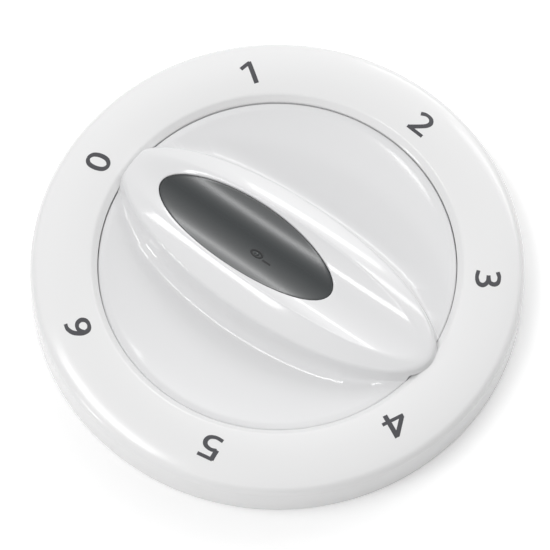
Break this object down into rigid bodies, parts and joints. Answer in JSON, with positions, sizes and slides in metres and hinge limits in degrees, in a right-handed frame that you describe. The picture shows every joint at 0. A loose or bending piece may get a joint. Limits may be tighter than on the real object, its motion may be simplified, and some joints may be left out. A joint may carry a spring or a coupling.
{
  "type": "control knob",
  "caption": "Round white control knob with a numbered dial ring, a dished disc and a scooped finger grip with a dark inlay, for a D-shaped shaft.",
  "frame": {"origin": "centre of the knob's turning axis, in the plane of the dial ring's back rim", "axes": "+Z along the shaft axis, out of the face; +Y from the centre towards the number 0 and the round end of the grip"},
  "size_m": [0.064, 0.064, 0.0087],
  "materials": {
    "white_plastic": "moulded, glossy",
    "grey_plastic": "moulded, satin",
    "spring_steel": "plain rolled strip"
  },
  "bodies": {
    "root": {"dial_ring": "white_plastic", "knob_body": "white_plastic", "grip_insert": "grey_plastic", "shaft_spring": "spring_steel"}
  },
  "joints": []
}
